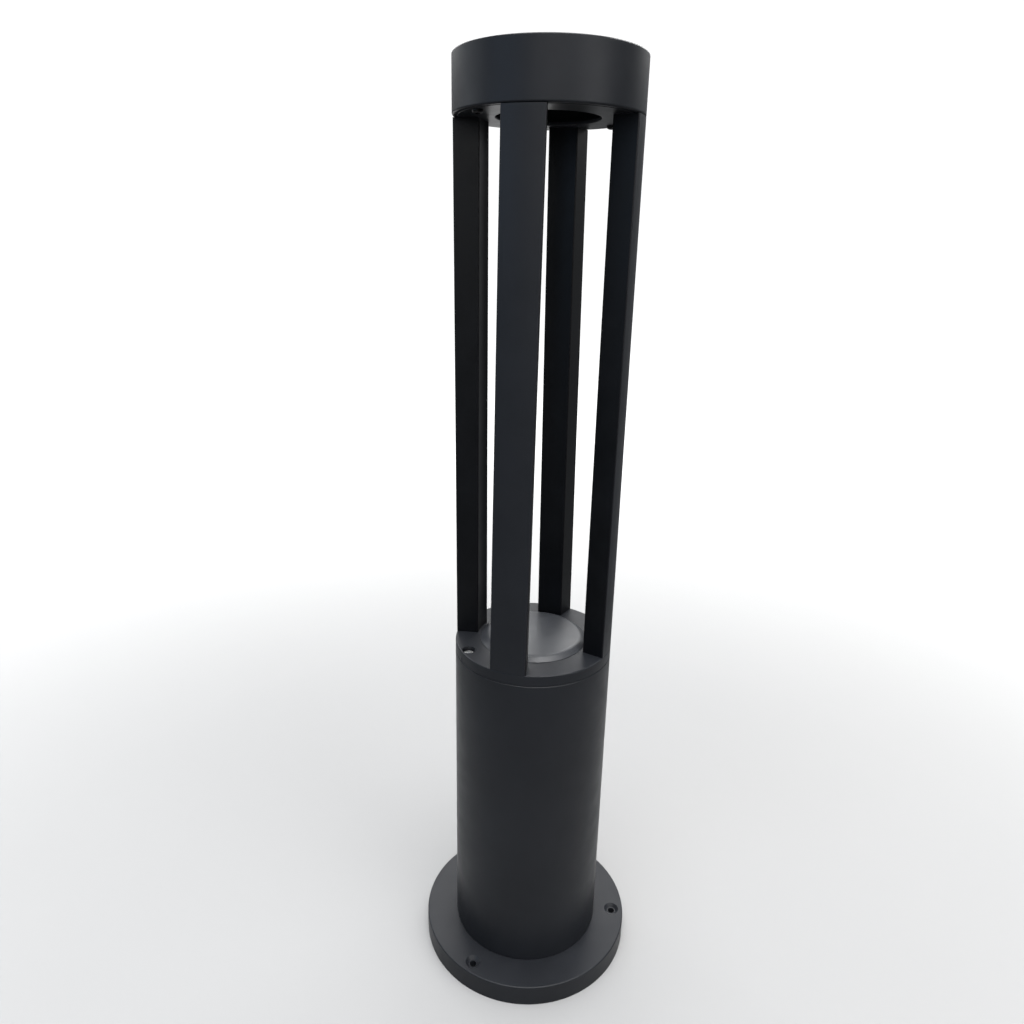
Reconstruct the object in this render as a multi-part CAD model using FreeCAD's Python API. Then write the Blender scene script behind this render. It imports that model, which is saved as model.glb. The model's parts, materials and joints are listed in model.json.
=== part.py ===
# Bollard light: base flange, tube, collar with low reflector dome, four posts and a lamp head.
# Millimetres, +Z up, origin at the centre of the flange underside, front towards -Y.
# Azimuths are in degrees, measured from the front (-Y) towards the right (+X).
import os
import math

import FreeCAD
import Part

Vec = FreeCAD.Vector
UP = Vec(0, 0, 1)

# ---------------------------------------------------------------- driving sizes
TUBE_R = 57.5
TUBE_WALL = 3.0
FLANGE_R = 82.0
FLANGE_TOP = 16.7
FLANGE_WEB = 7.5
FLANGE_SKIRT = 6.0
FLANGE_EDGE = 1.0
REGISTER_H = 3.0
GASKET_T = 0.6
TUBE_TOP = 261.2
TUBE_CHAMFER = 0.5
COLLAR_TOP = 269.4
PLATE_UNDER = 617.4
PLATE_SHOULDER = 619.4
PLATE_TOP = 621.4
CAP_RIM = 617.6
CAP_TOP = 650.0
CAP_R = 58.0
CAP_WALL = 3.0
CAP_ROOF = 4.0
CAP_EDGE = 0.8
CAP_RIM_EDGE = 1.2

# The lamp head sits turned by a few degrees on its posts, so each post leans slightly.
HEAD_TURN = 3.6

# Fixing holes of the flange, three on one pitch circle.
BASE_HOLE_PITCH_R = 72.6
BASE_HOLE_R = 2.65
BASE_SINK_R = 5.85
BASE_SEAT_R = 3.6
BASE_HOLE_AZ = (-60.0, 60.0, 180.0)
BASE_BOSS_R = 10.5
BASE_RIB_AZ = (30.0, -30.0, 120.0, -120.0, 150.0, -150.0)
BASE_RIB_T = 4.0
BASE_RIB_FOOT = 1.5
HUB_R = 20.0
HUB_INNER_R = 16.0
CABLE_HOLE_R = 11.0

# Screw ports inside the tube; the collar uses the left and the right one.
PORT_PITCH_R = 51.7
PORT_AZ = (0.0, 90.0, 180.0, -90.0)
PORT_R = 4.8
PORT_SHADOW = 0.6

# Screws: shank radius at the thread root, head radius, head height, hexagon across flats.
M5_CAP = (2.0, 4.2, 3.4, 4.0)
M5_BUTTON = (2.0, 4.1, 2.4, 3.0)
M4_CAP = (1.6, 3.4, 2.4, 2.5)
M4_BUTTON = (1.6, 3.3, 2.0, 2.5)
M3_CAP = (1.2, 2.6, 2.0, 2.0)
M5_CLEAR_R = 2.7
M5_TAP_R = 2.1
M4_CLEAR_R = 2.2
M4_TAP_R = 1.7
M3_CLEAR_R = 1.6
M3_TAP_R = 1.3
SOCKET_SHARE = 0.6
DOMED_SHARE = 0.8

TUBE_SCREW_LENGTH = 22.0
COLLAR_SCREW_LENGTH = 18.0
DOME_SCREW_LENGTH = 8.2
POST_FOOT_SCREW_LENGTH = 17.0
POST_HEAD_SCREW_LENGTH = 15.8
HEAD_SCREW_LENGTH = 16.0
OPTIC_SCREW_LENGTH = 15.6
BOARD_SCREW_LENGTH = 5.0
TRAY_SCREW_LENGTH = 5.6
GEAR_SCREW_LENGTH = 4.5

COLLAR_SCREW_AZ = (-90.0, 90.0)
COLLAR_SINK_R = 4.85
COLLAR_SINK_DEPTH = 4.4
COLLAR_BOSS_R = 6.0
COLLAR_EDGE = 0.7
SPIGOT_R = 54.0
SPIGOT_INNER_R = 52.0
SPIGOT_DEPTH = 10.0
COLLAR_POCKET = 2.0

# Dome outline, outside and inside: radius, upright rim, bevel width, blend radius, crown radius.
DOME_OUTSIDE = (39.0, 0.3, 2.8, 6.0, 318.0)
DOME_INSIDE = (36.2, 0.1, 1.08, 4.2, 316.2)
DOME_BEVEL_SLOPE = 36.0
DOME_BOSS_R = 4.2
DOME_BOSS_H = 4.0
DOME_TAP_DEPTH = 3.2
DOME_SCREW_R = 26.0
DOME_SCREW_AZ = (0.0, 120.0, -120.0)

# Posts: sectors of a thick ring with radial sides and a hollow-ground inner face.
POST_AZ = {
    "post_front_left": -45.0,
    "post_front_right": 45.0,
    "post_back_right": 135.0,
    "post_back_left": -135.0,
}
POST_INNER_R = 41.5
POST_HALF_ANGLE = 13.2
POST_CORNER = 0.9
POST_SCREW_R = 48.0
POST_SCREW_SIDE = 7.0
POST_SCREW_DEPTH = 14.0
POST_SINK_R = 3.9
POST_SINK_DEPTH = 1.9
POST_HEAD_SUNK = 0.2
POST_SCREW_CONE_R = 3.4
POST_SCREW_CONE_H = 2.0
LEAD_POST_AZ = -135.0
LEAD_PATH_R = 48.5
LEAD_BORE_R = 3.0
LEAD_R = 1.9
LEAD_BENDS = (12.0, 12.0, 400.0, 400.0, 10.0)
LEAD_RUN_RISE = 18.0
BUSH_R = 2.85
BUSH_LIP_R = 3.4
BUSH_LIP_T = 1.2

OPENING_R = 31.8
OPENING_LIP = 2.0
OPENING_POCKET_R = 36.0
PLATE_R = 54.7
PLATE_EDGE = 0.4
OPENING_EDGE = 0.8
PLATE_SPIGOT_R = 52.8
PLATE_SCREW_R = 50.0
PLATE_SCREW_AZ = (-84.6, 95.4)
CAP_LEDGE_R = 53.2
CAP_LEDGE_H = 2.0
CAP_RIB_STEP = 30
CAP_RIB_T = 2.0
CAP_RIB_H = 3.0
CAP_BOSS_R = 4.0
CAP_BOSS_WEB = 4.0
CAP_WALL_BITE = 1.5
CAP_TAP_DEPTH = 14.0
LENS_TAP_DEPTH = 3.2
BOARD_TAP_DEPTH = 4.0
SLIDE_FIT = 0.2
LENS_SCREW_AZ = (180.0, 62.0, -62.0)
LENS_LUG_PITCH_R = 43.5
LENS_SCREW_R = 44.3
LENS_LUG_R = 5.0
HOLDER_R = 43.0
HOLDER_INNER_R = 33.6
HOLDER_TOP = 632.0
LENS_R = 40.0
LENS_BOTTOM = 628.2
LENS_TOP = 632.2
LENS_SEAL_T = 0.8
CUP_R = 35.0
CUP_THROAT_R = 9.0
CUP_WALL = 1.2
CUP_FLANGE_T = 2.0
CUP_TO_BOARD = 0.7
LENS_FIT = 0.6
BOARD_BOTTOM = 642.5
BOARD_TOP = 644.1
BOARD_R = 28.5
BOARD_SEAT_RIM = 1.5
BOARD_SCREW_R = 23.0
BOARD_SCREW_AZ = (60.0, 180.0, -60.0)
LED_R = 8.0
LED_T = 1.2
CONNECTOR_R = (23.5, 30.5)
CONNECTOR_W = 9.0
CONNECTOR_H = 3.6

# Control gear hanging from the collar inside the tube.
TRAY_HALF_W = 25.0
TRAY_T = 1.5
TRAY_BOTTOM = 70.0
TRAY_SHELF = 20.0
TRAY_BEND_R = 2.5
TRAY_TAP_DEPTH = 4.6
DRIVER_BOTTOM = 120.0
DRIVER_TOP = 220.0
DRIVER_HALF_W = 20.0
DRIVER_DEPTH = 28.0
DRIVER_EDGE = 2.0
DRIVER_FOOT_HALF_W = 9.0
DRIVER_FOOT_T = 2.0
DRIVER_FOOT_REACH = 9.0
DRIVER_SCREW_REACH = 4.0
TERMINAL_HALF_W = 15.0
TERMINAL_DEPTH = 16.0
TERMINAL_BOTTOM = 85.0
TERMINAL_TOP = 103.0
TERMINAL_POLE_X = (-10.5, 0.0, 10.5)
TERMINAL_SLOT_X = (-5.2, 5.2)
TERMINAL_SCREW_X = (-8.0, 8.0)
TERMINAL_SCREW_Z = 89.0
TERMINAL_WELL_R = 2.4
TERMINAL_WELL_DROP = 5.5
TERMINAL_WELL_FLOOR = 12.0
TERMINAL_PORT_R = 2.0
TERMINAL_PORT_DEPTH = 6.0
TERMINAL_PORT_Y = 9.0
TERMINAL_SLOT_HALF_W = 0.5
TERMINAL_SLOT_FLOOR = 5.0
TERMINAL_HEAD_R = 3.0
TERMINAL_HEAD_FLOOR = 3.0
EARTH_X = 18.0
EARTH_Z = 80.0
EARTH_WASHER_R = 5.5
EARTH_WASHER_T = 1.2
GEAR_LEAD_X = -12.0
GEAR_LEAD_Y = 15.0
DRIVER_LEAD_X = 12.0
DRIVER_LEAD_Y = 14.0
DRIVER_LEAD_R = 3.0

GROMMET_R = 10.7
GROMMET_LIP_R = 14.0
GROMMET_LIP_T = 1.5
GROMMET_BORE_R = 4.5

TUBE_GASKET_R = (56.6, 54.3)
HEAD_GASKET_R = (54.5, 53.3)

COLLAR_BOTTOM = TUBE_TOP + GASKET_T
POCKET_CEILING = COLLAR_BOTTOM + COLLAR_POCKET
TUBE_BOTTOM = FLANGE_TOP + GASKET_T
CAP_LEDGE = PLATE_SHOULDER + GASKET_T
CAP_INNER_R = CAP_R - CAP_WALL
ROOF_UNDER = CAP_TOP - CAP_ROOF
WEB_UNDER = FLANGE_TOP - FLANGE_WEB
LIP_TOP = PLATE_UNDER + OPENING_LIP
DRIVER_SCREW_Z = (DRIVER_BOTTOM - DRIVER_SCREW_REACH, DRIVER_TOP + DRIVER_SCREW_REACH)
ORIGIN = Vec(0, 0, 0)
TRAY_SCREWS = (Vec(-18, -10, 0), Vec(18, -10, 0))


# ---------------------------------------------------------------- helpers
def polar(radius, azimuth, z=0.0):
    a = math.radians(azimuth)
    return Vec(radius * math.sin(a), -radius * math.cos(a), z)


def beside(radius, azimuth, side, z=0.0):
    """Point at a radius on an azimuth, moved sideways towards growing azimuth."""
    a = math.radians(azimuth)
    return polar(radius, azimuth, z) + Vec(math.cos(a), math.sin(a), 0) * side


def rod(radius, z0, z1, at=ORIGIN):
    return Part.makeCylinder(radius, z1 - z0, Vec(at.x, at.y, z0), UP)


def bore(radius, at=ORIGIN):
    """Upright cutter that runs through the whole height."""
    return rod(radius, -10, CAP_TOP + 10, at)


def drill_back(radius, x, z, y0=-5.0, y1=25.0):
    """Level cutter along Y, from y0 to y1."""
    return Part.makeCylinder(radius, y1 - y0, Vec(x, y0, z), Vec(0, 1, 0))


def cone(r0, r1, z0, z1, at=ORIGIN):
    return Part.makeCone(r0, r1, z1 - z0, Vec(at.x, at.y, z0), UP)


def ring(outer, inner, z0, z1):
    return rod(outer, z0, z1).cut(rod(inner, z0 - 1, z1 + 1))


def block(x0, x1, y0, y1, z0, z1):
    return Part.makeBox(x1 - x0, y1 - y0, z1 - z0, Vec(x0, y0, z0))


def radial_block(r0, r1, width, z0, z1, azimuth):
    bar = block(-width / 2, width / 2, -r1, -r0, z0, z1)
    bar.rotate(ORIGIN, UP, azimuth)
    return bar


def fuse(first, others):
    return first.multiFuse(list(others)).removeSplitter()


def cut(body, tools):
    return body.cut(Part.makeCompound(list(tools)))


def hexagon(across, z0, z1, at):
    corner_r = across / math.sqrt(3.0)
    pts = [Vec(at.x + corner_r * math.cos(math.radians(60 * k)),
               at.y + corner_r * math.sin(math.radians(60 * k)), z0) for k in range(7)]
    face = Part.Face(Part.makePolygon(pts))
    return face.extrude(Vec(0, 0, z1 - z0))


def round_edges(body, radius, test):
    edges = [e for e in body.Edges if test(e)]
    return body.makeFillet(radius, edges)


def rim_edge(radius, z):
    """Test for the full circular edges of one radius at one height."""
    def test(edge):
        box = edge.BoundBox
        flat = abs(box.ZMin - z) < 0.01 and abs(box.ZMax - z) < 0.01
        return flat and abs(box.XMax - radius) < 0.05 and abs(box.XMin + radius) < 0.05
    return test


def arc(a, b, c):
    return Part.Arc(a, b, c).toShape()


def line(a, b):
    return Part.makeLine(a, b)


def screw_down(at, seat, length, size, domed=False):
    """Socket screw driven downwards; its head stands on the seat height."""
    shank_r, head_r, head_h, across = size
    head = rod(head_r, seat, seat + head_h, at)
    if domed:
        head = round_edges(head, head_h * DOMED_SHARE, lambda e: abs(e.BoundBox.ZMin - seat - head_h) < 0.01)
    body = head.fuse(rod(shank_r, seat - length, seat, at)).removeSplitter()
    return body.cut(hexagon(across, seat + head_h * (1 - SOCKET_SHARE), seat + head_h, at))


def screw_up(at, seat, length, size, domed=False):
    """Socket screw driven upwards; its head hangs below the seat height."""
    body = screw_down(ORIGIN, 0, length, size, domed)
    body.rotate(ORIGIN, Vec(1, 0, 0), 180)
    body.translate(Vec(at.x, at.y, seat))
    return body


def screw_back(x, seat_y, z, length, size):
    """Socket screw driven towards -Y; its head stands in front of its seat."""
    body = screw_down(ORIGIN, 0, length, size)
    body.rotate(ORIGIN, Vec(1, 0, 0), -90)
    body.translate(Vec(x, seat_y, z))
    return body


def path_pipe(points, radius, bends):
    """Round lead along straight runs joined by tangent arcs; bends holds one radius per corner."""
    edges = []
    start = points[0]
    for k in range(1, len(points) - 1):
        corner = points[k]
        before = (points[k - 1] - corner).normalize()
        after = (points[k + 1] - corner).normalize()
        half = before.getAngle(after) / 2
        reach = bends[k - 1] / math.tan(half)
        centre_dir = (before + after).normalize()
        centre = corner + centre_dir * (bends[k - 1] / math.sin(half))
        p0 = corner + before * reach
        p1 = corner + after * reach
        mid = centre - centre_dir * bends[k - 1]
        edges.append(line(start, p0))
        edges.append(arc(p0, mid, p1))
        start = p1
    edges.append(line(start, points[-1]))
    spine = Part.Wire(edges)
    first = points[1] - points[0]
    profile = Part.Wire(Part.makeCircle(radius, points[0], first))
    return spine.makePipeShell([profile], True, False)


def turned(shape):
    """Copy of a head piece, turned with the lamp head."""
    piece = shape.copy()
    piece.rotate(ORIGIN, UP, HEAD_TURN)
    return piece


# ---------------------------------------------------------------- base
def register_ring(z0, z1):
    """Centring ring that fits inside the tube, notched round its screw ports."""
    body = ring(SPIGOT_R, SPIGOT_INNER_R, z0, z1)
    return cut(body, [bore(PORT_R + PORT_SHADOW, polar(PORT_PITCH_R, az)) for az in PORT_AZ])


def base_flange():
    body = rod(FLANGE_R, 0, FLANGE_TOP)
    body = round_edges(body, FLANGE_EDGE, rim_edge(FLANGE_R, FLANGE_TOP))
    hollow = rod(FLANGE_R - FLANGE_SKIRT, -1, WEB_UNDER)
    keep = [rod(BASE_BOSS_R, -1, WEB_UNDER, polar(BASE_HOLE_PITCH_R, az)) for az in BASE_HOLE_AZ]
    rib_end = FLANGE_R - FLANGE_SKIRT + 1
    keep += [radial_block(HUB_INNER_R - 1, rib_end, BASE_RIB_T, BASE_RIB_FOOT, WEB_UNDER, az)
             for az in BASE_RIB_AZ]
    keep.append(ring(HUB_R, HUB_INNER_R, BASE_RIB_FOOT, WEB_UNDER))
    body = body.cut(cut(hollow, keep))
    body = body.fuse(register_ring(FLANGE_TOP, FLANGE_TOP + REGISTER_H))
    seat = FLANGE_TOP - (BASE_SINK_R - BASE_SEAT_R)
    tools = [bore(CABLE_HOLE_R)]
    for az in BASE_HOLE_AZ:
        at = polar(BASE_HOLE_PITCH_R, az)
        tools.append(bore(BASE_HOLE_R, at))
        tools.append(cone(BASE_SEAT_R, BASE_SINK_R, seat, FLANGE_TOP, at))
    tools += [bore(M5_CLEAR_R, polar(PORT_PITCH_R, az)) for az in PORT_AZ]
    return cut(body, tools).removeSplitter()


def cable_grommet():
    bottom = WEB_UNDER - GROMMET_LIP_T
    top = FLANGE_TOP + GROMMET_LIP_T
    body = rod(GROMMET_R, bottom, top)
    body = fuse(body, [rod(GROMMET_LIP_R, bottom, WEB_UNDER), rod(GROMMET_LIP_R, FLANGE_TOP, top)])
    return body.cut(bore(GROMMET_BORE_R))


def lower_tube():
    body = ring(TUBE_R, TUBE_R - TUBE_WALL, TUBE_BOTTOM, TUBE_TOP)
    ports = [rod(PORT_R, TUBE_BOTTOM, TUBE_TOP, polar(PORT_PITCH_R, az)) for az in PORT_AZ]
    body = fuse(body, ports)
    body = cut(body, [bore(M5_TAP_R, polar(PORT_PITCH_R, az)) for az in PORT_AZ])
    top_rim = rim_edge(TUBE_R, TUBE_TOP)
    return body.makeChamfer(TUBE_CHAMFER, [e for e in body.Edges if top_rim(e)])


# ---------------------------------------------------------------- collar and dome
def lead_foot():
    return polar(LEAD_PATH_R, LEAD_POST_AZ)


def lead_head():
    return polar(LEAD_PATH_R, LEAD_POST_AZ + HEAD_TURN)


def post_screw_points(turn):
    pts = []
    for az in POST_AZ.values():
        for side in (-POST_SCREW_SIDE, POST_SCREW_SIDE):
            pts.append(beside(POST_SCREW_R, az + turn, side))
    return pts


def collar():
    body = rod(TUBE_R, COLLAR_BOTTOM, COLLAR_TOP)
    body = round_edges(body, COLLAR_EDGE, rim_edge(TUBE_R, COLLAR_TOP))
    body = body.cut(rod(SPIGOT_INNER_R, COLLAR_BOTTOM - 1, POCKET_CEILING))
    bosses = [rod(COLLAR_BOSS_R, COLLAR_BOTTOM, POCKET_CEILING + 1, polar(PORT_PITCH_R, az))
              for az in COLLAR_SCREW_AZ]
    body = fuse(body, bosses + [register_ring(COLLAR_BOTTOM - SPIGOT_DEPTH, COLLAR_BOTTOM + 0.5)])
    tools = [bore(LEAD_BORE_R, lead_foot())]
    for az in COLLAR_SCREW_AZ:
        at = polar(PORT_PITCH_R, az)
        tools.append(bore(M5_CLEAR_R, at))
        tools.append(rod(COLLAR_SINK_R, COLLAR_TOP - COLLAR_SINK_DEPTH, COLLAR_TOP + 1, at))
    tools += [bore(M4_CLEAR_R, p) for p in post_screw_points(0)]
    tools += [bore(M4_CLEAR_R, polar(DOME_SCREW_R, az)) for az in DOME_SCREW_AZ]
    tools += [rod(M4_TAP_R, COLLAR_BOTTOM, POCKET_CEILING + TRAY_TAP_DEPTH, p) for p in TRAY_SCREWS]
    return cut(body, tools)


def dome_body(outer, rim, bevel_w, blend_r, crown_r):
    """Low dome turned about the axis: upright rim, sloping bevel, blend arc, spherical crown."""
    slope = math.radians(DOME_BEVEL_SLOPE)
    foot = Vec(outer, 0, COLLAR_TOP + rim)
    bevel_top = foot + Vec(-bevel_w, 0, bevel_w * math.tan(slope))
    blend_centre = bevel_top - Vec(math.sin(slope), 0, math.cos(slope)) * blend_r
    between = crown_r - blend_r
    crown_centre = Vec(0, 0, blend_centre.z - math.sqrt(between ** 2 - blend_centre.x ** 2))
    crown_tilt = math.asin(blend_centre.x / between)

    def on_arc(centre, radius, tilt):
        return centre + Vec(math.sin(tilt), 0, math.cos(tilt)) * radius

    crown_edge = on_arc(crown_centre, crown_r, crown_tilt)
    top = crown_centre + UP * crown_r
    base = Vec(0, 0, COLLAR_TOP)
    outline = Part.Wire([
        line(top, base),
        line(base, Vec(outer, 0, COLLAR_TOP)),
        line(Vec(outer, 0, COLLAR_TOP), foot),
        line(foot, bevel_top),
        arc(bevel_top, on_arc(blend_centre, blend_r, (slope + crown_tilt) / 2), crown_edge),
        arc(crown_edge, on_arc(crown_centre, crown_r, crown_tilt / 2), top),
    ])
    return Part.Face(outline).revolve(ORIGIN, UP, 360)


def reflector_dome():
    screw_points = [polar(DOME_SCREW_R, az) for az in DOME_SCREW_AZ]
    bosses = [rod(DOME_BOSS_R, COLLAR_TOP, COLLAR_TOP + DOME_BOSS_H, p) for p in screw_points]
    body = dome_body(*DOME_OUTSIDE).cut(cut(dome_body(*DOME_INSIDE), bosses))
    return cut(body, [rod(M4_TAP_R, COLLAR_TOP, COLLAR_TOP + DOME_TAP_DEPTH, p) for p in screw_points])


# ---------------------------------------------------------------- posts
def post_section(azimuth, outer, z):
    """Closed section of a post: ring sector with rounded corners."""
    c = POST_CORNER
    inner = POST_INNER_R
    out_off = math.degrees(math.asin(c / (outer - c)))
    in_off = math.degrees(math.asin(c / (inner + c)))
    out_side = math.sqrt((outer - c) ** 2 - c ** 2)
    in_side = math.sqrt((inner + c) ** 2 - c ** 2)
    half = POST_HALF_ANGLE

    def corner(centre_r, offset, arc_r, side_r, sign):
        angle = azimuth + sign * (half - offset)
        on_arc = polar(arc_r, angle, z)
        on_side = polar(side_r, azimuth + sign * half, z)
        centre = polar(centre_r, angle, z)
        mid = centre + ((on_arc + on_side) * 0.5 - centre).normalize() * c
        return on_arc, mid, on_side

    o_l = corner(outer - c, out_off, outer, out_side, -1)
    o_r = corner(outer - c, out_off, outer, out_side, 1)
    i_l = corner(inner + c, in_off, inner, in_side, -1)
    i_r = corner(inner + c, in_off, inner, in_side, 1)
    return Part.Wire([
        arc(o_l[0], polar(outer, azimuth, z), o_r[0]),
        arc(o_r[0], o_r[1], o_r[2]),
        line(o_r[2], i_r[2]),
        arc(i_r[2], i_r[1], i_r[0]),
        arc(i_r[0], polar(inner, azimuth, z), i_l[0]),
        arc(i_l[0], i_l[1], i_l[2]),
        line(i_l[2], o_l[2]),
        arc(o_l[2], o_l[1], o_l[0]),
    ])


def post(azimuth):
    foot = post_section(azimuth, TUBE_R, COLLAR_TOP)
    head = post_section(azimuth + HEAD_TURN, CAP_R, PLATE_UNDER)
    body = Part.makeLoft([foot, head], True, True)
    tools = []
    for side in (-POST_SCREW_SIDE, POST_SCREW_SIDE):
        low = beside(POST_SCREW_R, azimuth, side)
        high = beside(POST_SCREW_R, azimuth + HEAD_TURN, side)
        tools.append(rod(M4_TAP_R, COLLAR_TOP - 1, COLLAR_TOP + POST_SCREW_DEPTH, low))
        tools.append(rod(M4_TAP_R, PLATE_UNDER - POST_SCREW_DEPTH, PLATE_UNDER + 1, high))
    if azimuth == LEAD_POST_AZ:
        low = lead_foot() + UP * COLLAR_TOP
        high = lead_head() + UP * PLATE_UNDER
        along = (high - low).normalize()
        tools.append(Part.makeCylinder(LEAD_BORE_R, (high - low).Length + 10, low - along * 5, along))
    return cut(body, tools)


# ---------------------------------------------------------------- lamp head, before turning
def lens_lugs(z0, z1):
    return [rod(LENS_LUG_R, z0, z1, polar(LENS_LUG_PITCH_R, az)) for az in LENS_SCREW_AZ]


def lens_screw_points():
    return [polar(LENS_SCREW_R, az) for az in LENS_SCREW_AZ]


def board_screw_points():
    return [polar(BOARD_SCREW_R, az) for az in BOARD_SCREW_AZ]


def plate_screw_points():
    return [polar(PLATE_SCREW_R, az) for az in PLATE_SCREW_AZ]


def head_plate():
    """Round plate nested in the cap; its pocket takes the lens holder above a thin lip."""
    body = rod(PLATE_R, PLATE_UNDER, PLATE_SHOULDER)
    body = round_edges(body, PLATE_EDGE, rim_edge(PLATE_R, PLATE_UNDER))
    body = fuse(body, [rod(PLATE_SPIGOT_R, PLATE_SHOULDER, PLATE_TOP)])
    tools = [bore(OPENING_R), rod(OPENING_POCKET_R, LIP_TOP, PLATE_TOP + 1)]
    for p in post_screw_points(0):
        tools.append(bore(M4_CLEAR_R, p))
        tools.append(cone(M4_CLEAR_R, POST_SINK_R, PLATE_TOP - POST_SINK_DEPTH, PLATE_TOP, p))
    tools.append(bore(LEAD_BORE_R, polar(LEAD_PATH_R, LEAD_POST_AZ)))
    tools += [bore(M4_CLEAR_R, p) for p in plate_screw_points()]
    tools += [rod(M3_TAP_R, PLATE_TOP - LENS_TAP_DEPTH, PLATE_TOP + 1, p) for p in lens_screw_points()]
    body = cut(body, tools)
    return round_edges(body, OPENING_EDGE, rim_edge(OPENING_R, PLATE_UNDER))


def head_cap():
    body = rod(CAP_R, CAP_RIM, CAP_TOP)
    body = round_edges(body, CAP_EDGE, rim_edge(CAP_R, CAP_TOP))
    body = round_edges(body, CAP_RIM_EDGE, rim_edge(CAP_R, CAP_RIM))
    body = body.cut(rod(CAP_INNER_R, CAP_RIM - 1, ROOF_UNDER))
    wall_r = CAP_R - CAP_WALL_BITE
    added = [rod(BOARD_R + BOARD_SEAT_RIM, BOARD_TOP, ROOF_UNDER + 1)]
    added.append(ring(CAP_INNER_R + 1, CAP_LEDGE_R, CAP_LEDGE, CAP_LEDGE + CAP_LEDGE_H))
    for az in PLATE_SCREW_AZ:
        added.append(rod(CAP_BOSS_R, PLATE_TOP, ROOF_UNDER + 1, polar(PLATE_SCREW_R, az)))
        added.append(radial_block(PLATE_SCREW_R + 2, wall_r, CAP_BOSS_WEB, CAP_LEDGE, ROOF_UNDER + 1, az))
    for az in range(CAP_RIB_STEP // 2, 360, CAP_RIB_STEP):
        added.append(radial_block(BOARD_R, wall_r, CAP_RIB_T, ROOF_UNDER - CAP_RIB_H, ROOF_UNDER + 1, az))
    body = fuse(body, added)
    tools = [rod(M4_TAP_R, PLATE_TOP - 1, PLATE_TOP + CAP_TAP_DEPTH, p) for p in plate_screw_points()]
    tools.append(rod(PLATE_SPIGOT_R + SLIDE_FIT, PLATE_UNDER, PLATE_TOP))
    tools += [rod(M3_TAP_R, BOARD_TOP - 1, BOARD_TOP + BOARD_TAP_DEPTH, p) for p in board_screw_points()]
    return cut(body, tools)


def lens_holder():
    """Black ring that carries the glass; its spigot centres it in the plate's pocket."""
    body = fuse(rod(HOLDER_R, PLATE_TOP, HOLDER_TOP), lens_lugs(PLATE_TOP, HOLDER_TOP))
    body = fuse(body, [rod(OPENING_POCKET_R - SLIDE_FIT, LIP_TOP + SLIDE_FIT / 2, PLATE_TOP + 1)])
    tools = [bore(HOLDER_INNER_R), rod(LENS_R + LENS_FIT, LENS_BOTTOM - LENS_SEAL_T, HOLDER_TOP + 1)]
    return cut(body, tools + [bore(M3_CLEAR_R, p) for p in lens_screw_points()])


def reflector_cup():
    """Bright cup round the light source; its flange clamps the glass."""
    flange_top = LENS_TOP + CUP_FLANGE_T
    top = BOARD_BOTTOM - CUP_TO_BOARD
    body = fuse(rod(HOLDER_R, LENS_TOP, flange_top), lens_lugs(LENS_TOP, flange_top))
    body = fuse(body, [cone(CUP_R + CUP_WALL, CUP_THROAT_R + CUP_WALL, LENS_TOP, top)])
    body = body.cut(cone(CUP_R, CUP_THROAT_R, LENS_TOP, top))
    return cut(body, [bore(M3_CLEAR_R, p) for p in lens_screw_points()])


def led_board():
    body = rod(BOARD_R, BOARD_BOTTOM, BOARD_TOP)
    return cut(body, [bore(M3_CLEAR_R, p) for p in board_screw_points()])


def lead_connector():
    low, high = CONNECTOR_R
    return radial_block(low, high, CONNECTOR_W, BOARD_BOTTOM - CONNECTOR_H, BOARD_BOTTOM, LEAD_POST_AZ)


def internal_lead():
    """Two-core lead from the driver through the collar and one post into the head."""
    low = lead_foot()
    high = lead_head()
    run_z = DRIVER_TOP + LEAD_RUN_RISE
    head_z = BOARD_BOTTOM - LEAD_R
    inward = (high * -1).normalize()
    points = [
        Vec(GEAR_LEAD_X, GEAR_LEAD_Y, DRIVER_TOP),
        Vec(GEAR_LEAD_X, GEAR_LEAD_Y, run_z),
        low + UP * run_z,
        low + UP * COLLAR_TOP,
        high + UP * PLATE_UNDER,
        high + UP * head_z,
        high + inward * (LEAD_PATH_R - CONNECTOR_R[1] - 0.1) + UP * head_z,
    ]
    return path_pipe(points, LEAD_R, LEAD_BENDS)


# ---------------------------------------------------------------- control gear
def gear_tray():
    body = block(-TRAY_HALF_W, TRAY_HALF_W, -TRAY_T, 0, TRAY_BOTTOM, POCKET_CEILING)
    shelf = block(-TRAY_HALF_W, TRAY_HALF_W, -TRAY_SHELF, 0, POCKET_CEILING - TRAY_T, POCKET_CEILING)
    body = fuse(body, [shelf])
    body = round_edges(body, TRAY_BEND_R, lambda e: e.BoundBox.XLength > 45 and abs(e.BoundBox.YMax) < 0.01
                       and abs(e.BoundBox.ZMin - POCKET_CEILING) < 0.01)
    tools = [bore(M4_CLEAR_R, p) for p in TRAY_SCREWS]
    tools += [drill_back(M4_TAP_R, 0, z) for z in DRIVER_SCREW_Z]
    tools += [drill_back(M3_TAP_R, x, TERMINAL_SCREW_Z) for x in TERMINAL_SCREW_X]
    tools.append(drill_back(M5_TAP_R, EARTH_X, EARTH_Z))
    return cut(body, tools)


def led_driver():
    """Closed driver case on its mounting foot."""
    case = block(-DRIVER_HALF_W, DRIVER_HALF_W, 0, DRIVER_DEPTH, DRIVER_BOTTOM, DRIVER_TOP)
    case = round_edges(case, DRIVER_EDGE, lambda e: e.BoundBox.ZLength > 90 and e.BoundBox.YMin > 1)
    foot = block(-DRIVER_FOOT_HALF_W, DRIVER_FOOT_HALF_W, 0, DRIVER_FOOT_T,
                 DRIVER_BOTTOM - DRIVER_FOOT_REACH, DRIVER_TOP + DRIVER_FOOT_REACH)
    body = fuse(case, [foot])
    return cut(body, [drill_back(M4_CLEAR_R, 0, z) for z in DRIVER_SCREW_Z])


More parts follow.
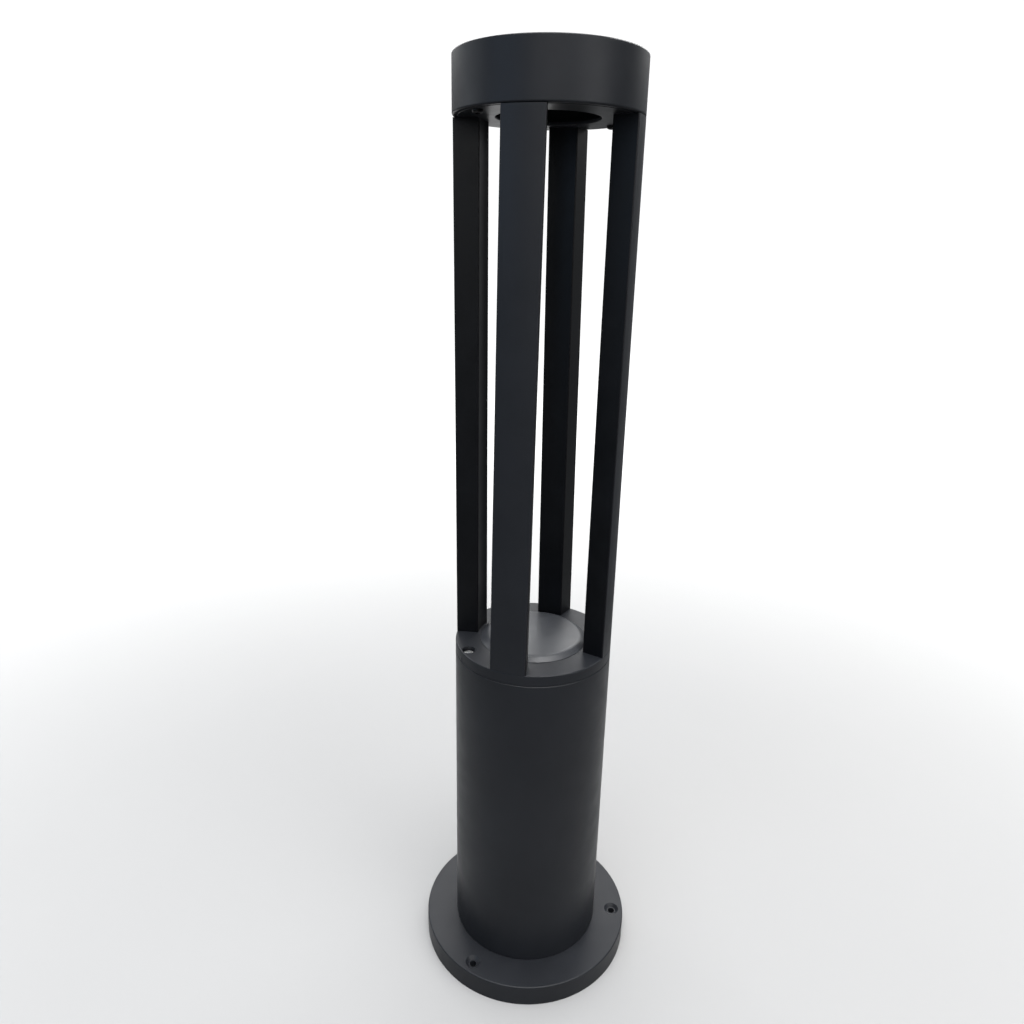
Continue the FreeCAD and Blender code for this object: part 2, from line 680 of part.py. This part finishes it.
def terminal_block():
    """Three-pole terminal with screw wells in front and wire ports below."""
    body = block(-TERMINAL_HALF_W, TERMINAL_HALF_W, 0, TERMINAL_DEPTH, TERMINAL_BOTTOM, TERMINAL_TOP)
    tools = []
    for x in TERMINAL_POLE_X:
        tools.append(drill_back(TERMINAL_WELL_R, x, TERMINAL_TOP - TERMINAL_WELL_DROP, TERMINAL_WELL_FLOOR))
        tools.append(rod(TERMINAL_PORT_R, TERMINAL_BOTTOM - 1, TERMINAL_BOTTOM + TERMINAL_PORT_DEPTH,
                         Vec(x, TERMINAL_PORT_Y, 0)))
    for x in TERMINAL_SLOT_X:
        tools.append(block(x - TERMINAL_SLOT_HALF_W, x + TERMINAL_SLOT_HALF_W, TERMINAL_SLOT_FLOOR,
                           TERMINAL_DEPTH + 1, TERMINAL_BOTTOM - 1, TERMINAL_TOP + 1))
    for x in TERMINAL_SCREW_X:
        tools.append(drill_back(M3_CLEAR_R, x, TERMINAL_SCREW_Z))
        tools.append(drill_back(TERMINAL_HEAD_R, x, TERMINAL_SCREW_Z, TERMINAL_HEAD_FLOOR))
    return cut(body, tools)


def earth_screw():
    washer = Part.makeCylinder(EARTH_WASHER_R, EARTH_WASHER_T, Vec(EARTH_X, 0, EARTH_Z), Vec(0, 1, 0))
    screw = screw_back(EARTH_X, EARTH_WASHER_T, EARTH_Z, GEAR_SCREW_LENGTH, M5_BUTTON)
    return screw.fuse(washer).removeSplitter()


def lead_bush():
    """Rubber bush that seals the lead where it leaves the tube for its post."""
    body = rod(BUSH_R, POCKET_CEILING, COLLAR_TOP - 0.5, lead_foot())
    body = fuse(body, [rod(BUSH_LIP_R, POCKET_CEILING - BUSH_LIP_T, POCKET_CEILING, lead_foot())])
    return body.cut(bore(LEAD_R + 0.1, lead_foot()))


def post_head_screw(at):
    """Countersunk screw driven down through the head plate into a post."""
    top = PLATE_TOP - POST_HEAD_SUNK
    neck = top - POST_SCREW_CONE_H
    shank_r, across = M4_CAP[0], M4_CAP[3]
    head = cone(shank_r, POST_SCREW_CONE_R, neck, top, at)
    body = fuse(rod(shank_r, top - POST_HEAD_SCREW_LENGTH, neck, at), [head])
    return body.cut(hexagon(across, top - POST_SCREW_CONE_H * SOCKET_SHARE, top + 1, at))


# ---------------------------------------------------------------- assembly
def group(shapes):
    return Part.makeCompound(list(shapes))


def gasket(radii, z0, z1):
    outer, inner = radii
    return ring(outer, inner, z0, z1)


def base_and_tube():
    return {
        "base_flange": base_flange(),
        "base_gasket": gasket(TUBE_GASKET_R, FLANGE_TOP, TUBE_BOTTOM),
        "cable_grommet": cable_grommet(),
        "lower_tube": lower_tube(),
        "tube_screws": group(screw_up(polar(PORT_PITCH_R, az), WEB_UNDER, TUBE_SCREW_LENGTH, M5_CAP)
                             for az in PORT_AZ),
    }


def collar_and_dome():
    sink_floor = COLLAR_TOP - COLLAR_SINK_DEPTH
    return {
        "collar": collar(),
        "collar_gasket": gasket(TUBE_GASKET_R, TUBE_TOP, COLLAR_BOTTOM),
        "collar_screws": group(screw_down(polar(PORT_PITCH_R, az), sink_floor, COLLAR_SCREW_LENGTH,
                                          M5_BUTTON, domed=True) for az in COLLAR_SCREW_AZ),
        "reflector_dome": reflector_dome(),
        "dome_screws": group(screw_up(polar(DOME_SCREW_R, az), POCKET_CEILING, DOME_SCREW_LENGTH, M4_CAP)
                             for az in DOME_SCREW_AZ),
        "lead_bush": lead_bush(),
    }


def posts():
    nodes = {name: post(azimuth) for name, azimuth in POST_AZ.items()}
    nodes["post_foot_screws"] = group(screw_up(p, POCKET_CEILING, POST_FOOT_SCREW_LENGTH, M4_CAP)
                                      for p in post_screw_points(0))
    nodes["post_head_screws"] = group(post_head_screw(p) for p in post_screw_points(HEAD_TURN))
    return nodes


def lamp_head():
    seal_bottom = LENS_BOTTOM - LENS_SEAL_T
    return {
        "head_plate": turned(head_plate()),
        "head_gasket": gasket(HEAD_GASKET_R, PLATE_SHOULDER, CAP_LEDGE),
        "head_cap": turned(head_cap()),
        "head_screws": turned(group(screw_up(p, PLATE_UNDER, HEAD_SCREW_LENGTH, M4_BUTTON, domed=True)
                                    for p in plate_screw_points())),
        "lens_holder": turned(lens_holder()),
        "lens_gasket": ring(LENS_R, HOLDER_INNER_R + 2, seal_bottom, LENS_BOTTOM),
        "lens": rod(LENS_R, LENS_BOTTOM, LENS_TOP),
        "reflector_cup": turned(reflector_cup()),
        "optic_screws": turned(group(screw_down(p, LENS_TOP + CUP_FLANGE_T, OPTIC_SCREW_LENGTH, M3_CAP)
                                     for p in lens_screw_points())),
        "led_board": turned(led_board()),
        "led_source": rod(LED_R, BOARD_BOTTOM - LED_T, BOARD_BOTTOM),
        "board_screws": turned(group(screw_up(p, BOARD_BOTTOM, BOARD_SCREW_LENGTH, M3_CAP)
                                     for p in board_screw_points())),
        "lead_connector": turned(lead_connector()),
        "internal_lead": internal_lead(),
    }


def control_gear():
    return {
        "gear_tray": gear_tray(),
        "tray_screws": group(screw_up(p, POCKET_CEILING - TRAY_T, TRAY_SCREW_LENGTH, M4_CAP)
                             for p in TRAY_SCREWS),
        "led_driver": led_driver(),
        "driver_screws": group(screw_back(0, DRIVER_FOOT_T, z, GEAR_SCREW_LENGTH, M4_CAP)
                               for z in DRIVER_SCREW_Z),
        "terminal_block": terminal_block(),
        "driver_lead": rod(DRIVER_LEAD_R, TERMINAL_TOP, DRIVER_BOTTOM, Vec(DRIVER_LEAD_X, DRIVER_LEAD_Y, 0)),
        "earth_screw": earth_screw(),
    }


def build():
    nodes = {}
    for section in (base_and_tube, collar_and_dome, posts, lamp_head, control_gear):
        nodes.update(section())
    return nodes


os.makedirs("parts", exist_ok=True)
for node, shape in build().items():
    shape.exportStep("parts/" + node + ".step")
    box = shape.BoundBox
    print("%-18s solids %d valid %s vol %.0f  z %.1f..%.1f" % (
        node, len(shape.Solids), shape.isValid(), shape.Volume, box.ZMin, box.ZMax))
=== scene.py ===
# Bollard light: looks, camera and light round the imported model.
# Metres, +Z up, front towards -Y, the same frame as the model.
import json
import math

import bpy
from mathutils import Matrix, Vector

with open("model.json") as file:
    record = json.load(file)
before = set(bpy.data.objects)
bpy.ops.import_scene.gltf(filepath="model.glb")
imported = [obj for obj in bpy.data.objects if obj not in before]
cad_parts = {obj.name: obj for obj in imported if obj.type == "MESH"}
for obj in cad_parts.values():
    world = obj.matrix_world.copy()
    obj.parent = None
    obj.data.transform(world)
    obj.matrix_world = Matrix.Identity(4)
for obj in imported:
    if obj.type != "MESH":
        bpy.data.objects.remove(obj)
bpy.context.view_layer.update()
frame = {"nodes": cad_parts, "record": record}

# ---------------------------------------------------------------- camera
CAMERA_AZIMUTH = math.radians(-27.4)
CAMERA_REACH = 0.5217
CAMERA_HEIGHT = 0.5479
CAMERA_PITCH = math.radians(19.13)
CAMERA_YAW = math.radians(1.92)
CAMERA_ROLL = math.radians(1.08)
CAMERA_LENS = 27.54
CAMERA_SENSOR = 36.0
CAMERA_CLIP = 0.01

# ---------------------------------------------------------------- studio
FLOOR_GREY = 0.215
TABLE_REACH = 0.50
FLOOR_REACH = 2.2
WALL_CURVE = 1.2
WALL_TOP = 6.0
WALL_CURVE_STEPS = 24
STAGE_SEGMENTS = 128
BACKDROP_GLOW = 0.85
GLOW_START = 0.3
GLOW_FULL = 0.8 * FLOOR_REACH

# ---------------------------------------------------------------- light
WORLD_LEVEL = 0.26
WORLD_COLOUR = (0.94, 0.97, 1.0, 1.0)
WHITE = (1.0, 1.0, 1.0)
COOL_WHITE = (0.86, 0.93, 1.0)
BLUE = (0.45, 0.68, 1.0)

# The softboxes aim at this point, and their distances are measured from it.
MIDDLE = (0.0, 0.0, 0.32)

# Name, azimuth from the camera's side, elevation, distance, width, height, radiance, colour.
SOFTBOXES = [
    ("top_softbox", 0, 86, 2.2, 2.0, 2.0, 11.5, WHITE),
    ("front_high", 0, 58, 2.4, 1.5, 0.9, 7.0, WHITE),
    ("front_low", 0, 20, 2.4, 1.6, 1.0, 2.6, WHITE),
    ("front_left", -50, 18, 2.4, 1.4, 1.2, 1.9, BLUE),
    ("front_right", 50, 18, 2.4, 1.4, 1.2, 4.0, WHITE),
    ("left", -100, 15, 2.4, 1.4, 1.2, 2.0, COOL_WHITE),
    ("front_right_high", 60, 50, 2.4, 1.6, 1.2, 4.0, WHITE),
    ("back_left", -145, 35, 2.4, 1.6, 1.2, 4.6, WHITE),
    ("back", 180, 38, 2.4, 1.6, 1.2, 5.0, WHITE),
    ("back_right", 145, 35, 2.4, 1.6, 1.2, 4.0, WHITE),
    ("back_low", -165, -2, 2.4, 1.4, 0.5, 2.1, WHITE),
]

# ---------------------------------------------------------------- textures
# Most of a noise texture's values lie between these two.
NOISE_LOW = 0.3
NOISE_HIGH = 0.7

# A post's coat has painted shade, full below the first of these and none above the second.
# They are cosines of the angle between the surface's normal and the way out from the axis.
POST_FULL_SHADE = 0.55
POST_NO_SHADE = 0.90


def add_camera():
    data = bpy.data.cameras.new("camera")
    data.lens = CAMERA_LENS
    data.sensor_width = CAMERA_SENSOR
    data.clip_start = CAMERA_CLIP
    camera = bpy.data.objects.new("camera", data)
    turn = (Matrix.Rotation(CAMERA_AZIMUTH + CAMERA_YAW, 4, "Z")
            @ Matrix.Rotation(math.pi / 2 - CAMERA_PITCH, 4, "X")
            @ Matrix.Rotation(CAMERA_ROLL, 4, "Z"))
    place = Vector((CAMERA_REACH * math.sin(CAMERA_AZIMUTH),
                    -CAMERA_REACH * math.cos(CAMERA_AZIMUTH), CAMERA_HEIGHT))
    camera.matrix_world = Matrix.Translation(place) @ turn
    bpy.context.scene.collection.objects.link(camera)
    bpy.context.scene.camera = camera


# ---------------------------------------------------------------- node helpers
class Shader:
    """A material with one Principled shader and helpers for the nodes that feed it."""

    def __init__(self, name):
        self.material = bpy.data.materials.new(name)
        self.material.use_nodes = True
        self.tree = self.material.node_tree
        self.principled = self.tree.nodes["Principled BSDF"]
        self.coords = self.tree.nodes.new("ShaderNodeTexCoord").outputs["Object"]

    def node(self, kind, **settings):
        made = self.tree.nodes.new("ShaderNode" + kind)
        for key, value in settings.items():
            setattr(made, key, value)
        return made

    def link(self, source, target):
        self.tree.links.new(source, target)

    def put(self, **values):
        """Constant values straight on the shader's sockets; underscores stand for spaces."""
        for key, value in values.items():
            self.principled.inputs[key.replace("_", " ")].default_value = value

    def noise(self, scale, detail, roughness=0.55):
        made = self.node("TexNoise")
        made.inputs["Scale"].default_value = scale
        made.inputs["Detail"].default_value = detail
        made.inputs["Roughness"].default_value = roughness
        self.link(self.coords, made.inputs["Vector"])
        return made.outputs["Fac"]

    def blend(self, source, first, second, low=NOISE_LOW, high=NOISE_HIGH):
        """Turns low..high of a texture into colours from the first to the second."""
        made = self.node("ValToRGB")
        stops = ((low, first), (high, second))
        for element, (place, colour) in zip(made.color_ramp.elements, stops):
            element.position = place
            element.color = (*colour, 1.0)
        self.link(source, made.inputs["Fac"])
        return made.outputs["Color"]

    def span(self, source, from_min, from_max, to_min=0.0, to_max=1.0, **settings):
        """Maps a range of values onto another one."""
        made = self.node("MapRange", **settings)
        made.inputs["From Min"].default_value = from_min
        made.inputs["From Max"].default_value = from_max
        made.inputs["To Min"].default_value = to_min
        made.inputs["To Max"].default_value = to_max
        self.link(source, made.inputs["Value"])
        return made.outputs["Result"]

    def colour(self, source):
        self.link(source, self.principled.inputs["Base Color"])

    def clouds(self, scale, detail, first, second):
        """Base colour that drifts from the first colour to the second."""
        self.colour(self.blend(self.noise(scale, detail), first, second))

    def sheen(self, scale, detail, low, high):
        """Roughness that drifts from low to high."""
        drift = self.span(self.noise(scale, detail), NOISE_LOW, NOISE_HIGH, low, high)
        self.link(drift, self.principled.inputs["Roughness"])

    def relief(self, source, height, strength):
        """Fine relief of the given height in metres."""
        made = self.node("Bump")
        made.inputs["Distance"].default_value = height
        made.inputs["Strength"].default_value = strength
        self.link(source, made.inputs["Height"])
        self.link(made.outputs["Normal"], self.principled.inputs["Normal"])

    def skin(self, scale, detail, height, strength):
        """Relief from an even noise, as on a moulded, coated or ground surface."""
        self.relief(self.noise(scale, detail), height, strength)


def grey(value, blue=0.0):
    """A grey, tinted towards blue by the given share."""
    return (value, value * (1 + blue * 0.3), value * (1 + blue))


# ---------------------------------------------------------------- materials
def powder_coat():
    """Satin anthracite powder coat: faint clouding and a fine orange-peel skin."""
    s = Shader("anthracite_powder_coat")
    s.colour(coat_clouds(s))
    finish_coat(s)
    return s.material


def painted_shade_post_coat():
    """The same coat on a post with painted shade: darker on the sides and the back, which face
    its neighbours.
    """
    s = Shader("post_powder_coat_painted_shade")
    level = s.node("VectorMath", operation="MULTIPLY")
    level.inputs[1].default_value = (1.0, 1.0, 0.0)
    s.link(s.coords, level.inputs[0])
    outward = s.node("VectorMath", operation="NORMALIZE")
    s.link(level.outputs["Vector"], outward.inputs[0])
    facing = s.node("VectorMath", operation="DOT_PRODUCT")
    s.link(outward.outputs["Vector"], facing.inputs[0])
    s.link(s.node("NewGeometry").outputs["Normal"], facing.inputs[1])
    unshaded_share = s.span(facing.outputs["Value"], POST_FULL_SHADE, POST_NO_SHADE,
                      interpolation_type="SMOOTHSTEP")
    mixed = s.node("Mix", data_type="RGBA")
    s.link(unshaded_share, mixed.inputs["Factor"])
    # Painted shade: the dark colour on a post's sides and back.
    painted_shade_colour = s.blend(s.noise(30.0, 4.0), grey(0.0012, 0.6), grey(0.0020, 0.6))
    s.link(painted_shade_colour, mixed.inputs["A"])
    s.link(coat_clouds(s), mixed.inputs["B"])
    s.colour(mixed.outputs["Result"])
    finish_coat(s)
    return s.material


def coat_clouds(s):
    """The anthracite colour of the coat, with its faint clouding."""
    return s.blend(s.noise(14.0, 5.0), grey(0.0070, 0.34), grey(0.0095, 0.34))


def finish_coat(s):
    """The sheen and the orange peel of the coat."""
    s.sheen(60.0, 3.0, 0.38, 0.46)
    s.relief(s.noise(1400.0, 2.0, 0.5), 0.00004, 0.55)
    s.put(Specular_IOR_Level=0.14)


def dome_coat():
    """The dome's smoother, slightly lighter coat."""
    s = Shader("dome_coat")
    s.clouds(20.0, 4.0, grey(0.020, 0.20), grey(0.025, 0.20))
    s.sheen(80.0, 3.0, 0.33, 0.40)
    s.skin(900.0, 2.0, 0.00003, 0.4)
    s.put(Specular_IOR_Level=0.26)
    return s.material


def stainless():
    s = Shader("stainless")
    s.clouds(300.0, 3.0, grey(0.52), grey(0.64))
    s.sheen(2500.0, 2.0, 0.22, 0.38)
    s.skin(3000.0, 2.0, 0.00002, 0.5)
    s.put(Metallic=1.0)
    return s.material


def blackened_steel():
    """Screws with a thin black oxide coat, rubbed a little brighter in places."""
    s = Shader("blackened_steel")
    s.clouds(400.0, 4.0, grey(0.010), grey(0.022))
    s.sheen(2500.0, 2.0, 0.28, 0.42)
    s.skin(3000.0, 2.0, 0.00002, 0.5)
    s.put(Metallic=1.0)
    return s.material


def rubber():
    s = Shader("black_rubber")
    s.clouds(150.0, 4.0, grey(0.008), grey(0.016))
    s.sheen(400.0, 3.0, 0.6, 0.8)
    s.skin(2200.0, 3.0, 0.00005, 0.6)
    return s.material


def black_plastic():
    s = Shader("black_plastic")
    s.clouds(90.0, 3.0, grey(0.001), grey(0.003))
    s.sheen(500.0, 3.0, 0.50, 0.62)
    s.skin(2600.0, 2.0, 0.00004, 0.7)
    s.put(Specular_IOR_Level=0.10)
    return s.material


def glass():
    s = Shader("clear_glass")
    s.clouds(30.0, 2.0, (0.93, 0.97, 0.95), (0.96, 0.985, 0.97))
    s.sheen(120.0, 3.0, 0.02, 0.06)
    s.put(Transmission_Weight=1.0, IOR=1.47)
    return s.material


def spun_aluminium():
    """Bright reflector with fine turning lines round its axis."""
    s = Shader("spun_aluminium")
    lines = s.node("TexWave", wave_type="RINGS", rings_direction="Z")
    lines.inputs["Scale"].default_value = 900.0
    lines.inputs["Distortion"].default_value = 0.6
    s.link(s.coords, lines.inputs["Vector"])
    s.clouds(60.0, 3.0, grey(0.78), grey(0.86))
    s.sheen(200.0, 3.0, 0.12, 0.22)
    s.relief(lines.outputs["Fac"], 0.00003, 0.35)
    s.put(Metallic=1.0)
    return s.material


def solder_mask():
    s = Shader("white_solder_mask")
    s.clouds(120.0, 4.0, (0.70, 0.70, 0.67), (0.80, 0.80, 0.78))
    s.sheen(300.0, 3.0, 0.3, 0.42)
    s.skin(1500.0, 2.0, 0.00003, 0.5)
    return s.material


def phosphor():
    """Yellow phosphor disc with the grid of dies under it."""
    s = Shader("yellow_phosphor")
    cells = s.node("TexVoronoi", feature="F1")
    cells.inputs["Scale"].default_value = 620.0
    cells.inputs["Randomness"].default_value = 0.0
    s.link(s.coords, cells.inputs["Vector"])
    s.colour(s.blend(cells.outputs["Distance"], (0.72, 0.50, 0.08), (0.86, 0.68, 0.20), 0.2, 0.8))
    s.sheen(900.0, 2.0, 0.35, 0.5)
    s.relief(cells.outputs["Distance"], 0.0001, 0.4)
    return s.material


def white_plastic():
    s = Shader("white_plastic")
    s.clouds(80.0, 4.0, (0.66, 0.66, 0.63), (0.74, 0.74, 0.71))
    s.sheen(400.0, 3.0, 0.42, 0.55)
    s.skin(1800.0, 3.0, 0.00005, 0.6)
    return s.material


def zinc_plate():
    """Zinc-plated sheet with its spangle of flat crystals."""
    s = Shader("zinc_plate")
    flakes = s.node("TexVoronoi", feature="F1")
    flakes.inputs["Scale"].default_value = 220.0
    s.link(s.coords, flakes.inputs["Vector"])
    s.colour(s.blend(flakes.outputs["Color"], grey(0.48, 0.05), grey(0.62, 0.05), 0.2, 0.8))
    s.sheen(500.0, 3.0, 0.3, 0.45)
    s.skin(1600.0, 3.0, 0.00003, 0.5)
    s.put(Metallic=1.0)
    return s.material


def brass():
    s = Shader("brass")
    s.clouds(200.0, 3.0, (0.60, 0.42, 0.16), (0.72, 0.54, 0.24))
    s.sheen(900.0, 3.0, 0.25, 0.4)
    s.skin(2000.0, 2.0, 0.00002, 0.5)
    s.put(Metallic=1.0)
    return s.material


def dress_nodes():
    """Gives every carried-over node the finish of its material slot."""
    finishes = {
        "anthracite_paint": powder_coat(),
        "dome_paint": dome_coat(),
        "black_rubber": rubber(),
        "stainless": stainless(),
        "blackened_steel": blackened_steel(),
        "black_plastic": black_plastic(),
        "clear_glass": glass(),
        "bright_aluminium": spun_aluminium(),
        "white_board": solder_mask(),
        "phosphor": phosphor(),
        "white_plastic": white_plastic(),
        "lead_jacket": rubber(),
        "zinc_steel": zinc_plate(),
        "brass_screw": brass(),
    }
    # The posts take the coat with painted shade on their sides and back.
    painted_shade_posts = painted_shade_post_coat()
    slots = {part["node"]: part["material_slot"] for part in frame["record"]["subparts"]}
    for name, node in frame["nodes"].items():
        for material_slot in node.material_slots:
            post_gets_painted_shade = name.startswith("post_") and slots[name] == "anthracite_paint"
            material_slot.material = painted_shade_posts if post_gets_painted_shade else finishes[slots[name]]


# ---------------------------------------------------------------- floor and backdrop
def add_floor():
    """A table top that the object reflects, and round it a floor and wall for the camera only."""
    profile = [(TABLE_REACH, 0.0), (FLOOR_REACH, 0.0)]
    for step in range(1, WALL_CURVE_STEPS + 1):
        a = math.pi / 2 * step / WALL_CURVE_STEPS
        profile.append((FLOOR_REACH + WALL_CURVE * math.sin(a), WALL_CURVE * (1 - math.cos(a))))
    profile.append((FLOOR_REACH + WALL_CURVE, WALL_TOP))
    paper = studio_paper()
    turned("studio_table", [(0.0, 0.0), (TABLE_REACH, 0.0)], paper)
    backdrop = turned("studio_backdrop", profile, paper)
    backdrop.visible_glossy = False
    backdrop.visible_diffuse = False
    backdrop.visible_shadow = False


def turned(name, profile, material):
    """A stage surface turned round the object's axis from (radius, height) points."""
    verts = []
    for r, z in profile:
        for k in range(STAGE_SEGMENTS):
            a = 2 * math.pi * k / STAGE_SEGMENTS
            verts.append((r * math.cos(a), r * math.sin(a), z))
    faces = []
    for row in range(len(profile) - 1):
        lower = row * STAGE_SEGMENTS
        upper = lower + STAGE_SEGMENTS
        for k in range(STAGE_SEGMENTS):
            following = (k + 1) % STAGE_SEGMENTS
            faces.append((lower + k, upper + k, upper + following, lower + following))
    mesh = bpy.data.meshes.new(name)
    mesh.from_pydata(verts, [], faces)
    for polygon in mesh.polygons:
        polygon.use_smooth = True
    mesh.materials.append(material)
    made = bpy.data.objects.new(name, mesh)
    bpy.context.scene.collection.objects.link(made)
    return made


def studio_paper():
    """Pale paper, lit a little from within towards the wall, as by background lights."""
    s = Shader("studio_paper")
    s.clouds(2.0, 3.0, grey(FLOOR_GREY * 0.98), grey(FLOOR_GREY))
    s.put(Roughness=0.9, Specular_IOR_Level=0.2, Emission_Color=(1.0, 1.0, 1.0, 1.0))
    distance = s.node("VectorMath", operation="LENGTH")
    s.link(s.coords, distance.inputs[0])
    glow = s.span(distance.outputs["Value"], GLOW_START, GLOW_FULL, 0.0, BACKDROP_GLOW,
                  interpolation_type="SMOOTHSTEP")
    s.link(glow, s.principled.inputs["Emission Strength"])
    return s.material


# ---------------------------------------------------------------- lights
def area_light(name, place, width, height, radiance, colour):
    """Softbox of the given radiance; it lights the scene but stays out of the picture."""
    data = bpy.data.lights.new(name, "AREA")
    data.shape = "RECTANGLE"
    data.size = width
    data.size_y = height
    data.energy = radiance * math.pi * width * height
    data.color = colour
    light = bpy.data.objects.new(name, data)
    light.location = place
    light.rotation_euler = (Vector(MIDDLE) - Vector(place)).to_track_quat("-Z", "Y").to_euler()
    light.visible_camera = False
    bpy.context.scene.collection.objects.link(light)


def round_axis(azimuth, elevation, distance):
    """A point round the object, with the azimuth counted from the camera's own side."""
    a = CAMERA_AZIMUTH + math.radians(azimuth)
    e = math.radians(elevation)
    reach = distance * math.cos(e)
    return (reach * math.sin(a), -reach * math.cos(a), MIDDLE[2] + distance * math.sin(e))


def add_light():
    world = bpy.data.worlds.new("studio")
    world.use_nodes = True
    background = world.node_tree.nodes["Background"]
    background.inputs["Color"].default_value = WORLD_COLOUR
    background.inputs["Strength"].default_value = WORLD_LEVEL
    bpy.context.scene.world = world
    for name, azimuth, elevation, distance, width, height, radiance, colour in SOFTBOXES:
        place = round_axis(azimuth, elevation, distance)
        area_light(name, place, width, height, radiance, colour)


def set_colour_management():
    view = bpy.context.scene.view_settings
    view.view_transform = "Standard"
    view.look = "None"
    view.exposure = 0.0
    view.gamma = 1.0


add_camera()
dress_nodes()
add_floor()
add_light()
set_colour_management()
